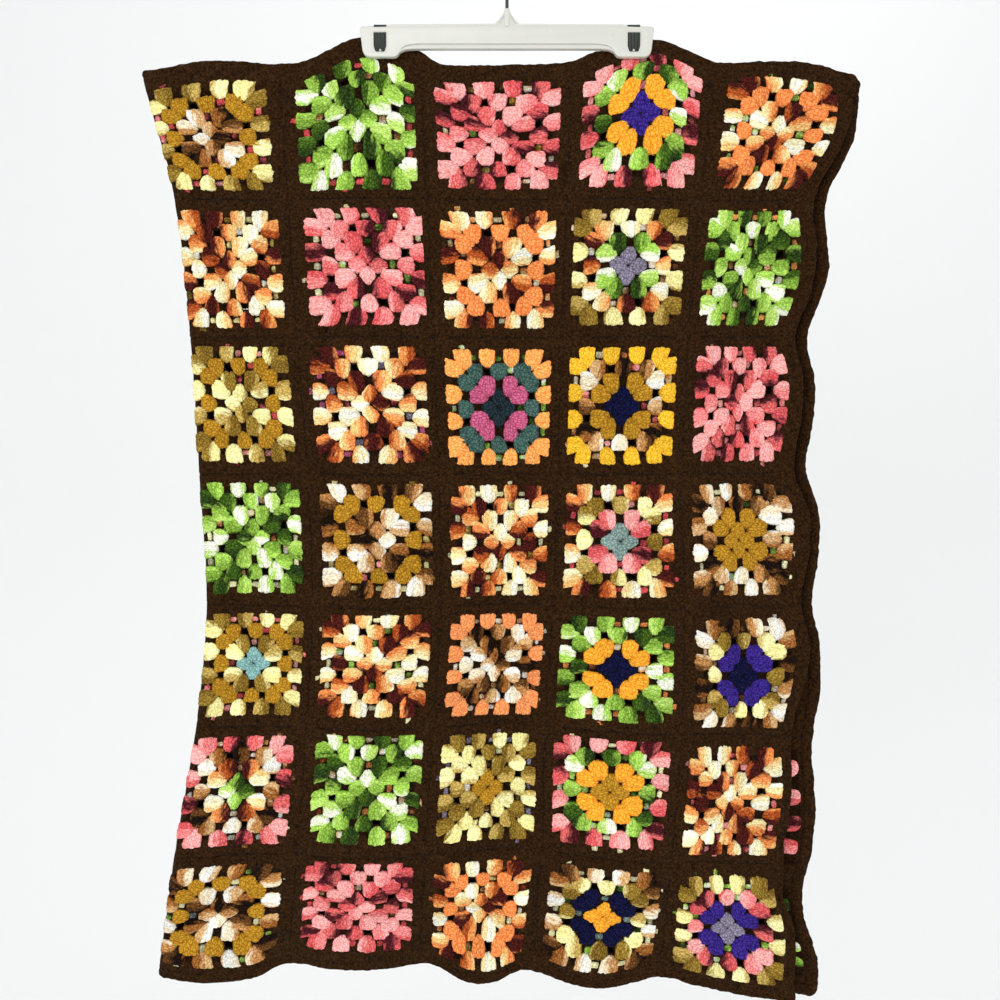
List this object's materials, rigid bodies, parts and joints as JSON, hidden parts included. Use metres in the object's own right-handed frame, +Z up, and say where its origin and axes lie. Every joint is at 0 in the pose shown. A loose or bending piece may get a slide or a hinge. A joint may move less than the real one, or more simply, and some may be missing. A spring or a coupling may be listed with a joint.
{
  "type": "granny square blanket on a clip hanger",
  "caption": "Crocheted blanket of joined squares with wavy edges, folded once and hung by its top edge from a hanger with two spring clips.",
  "frame": {"origin": "inside of the hook's top, where the hanger rests on what holds it", "axes": "+Z up, +Y from the blanket's front to its back, +X to the right as seen from the front"},
  "size_m": [0.7664, 0.0527, 1.1613],
  "materials": {
    "yarn": "crocheted worsted acrylic yarn, dark brown joins and edging round squares of many colours",
    "plastic": "moulded ivory plastic, smooth",
    "steel": "drawn steel wire, bright plated",
    "spring_steel": "rolled spring steel strip, grey"
  },
  "bodies": {
    "root": {"blanket": "yarn", "hanger_beam": "plastic", "hook": "steel", "back_jaw_left": "plastic", "back_jaw_right": "plastic", "spring_left": "spring_steel", "spring_right": "spring_steel"}
  },
  "joints": []
}
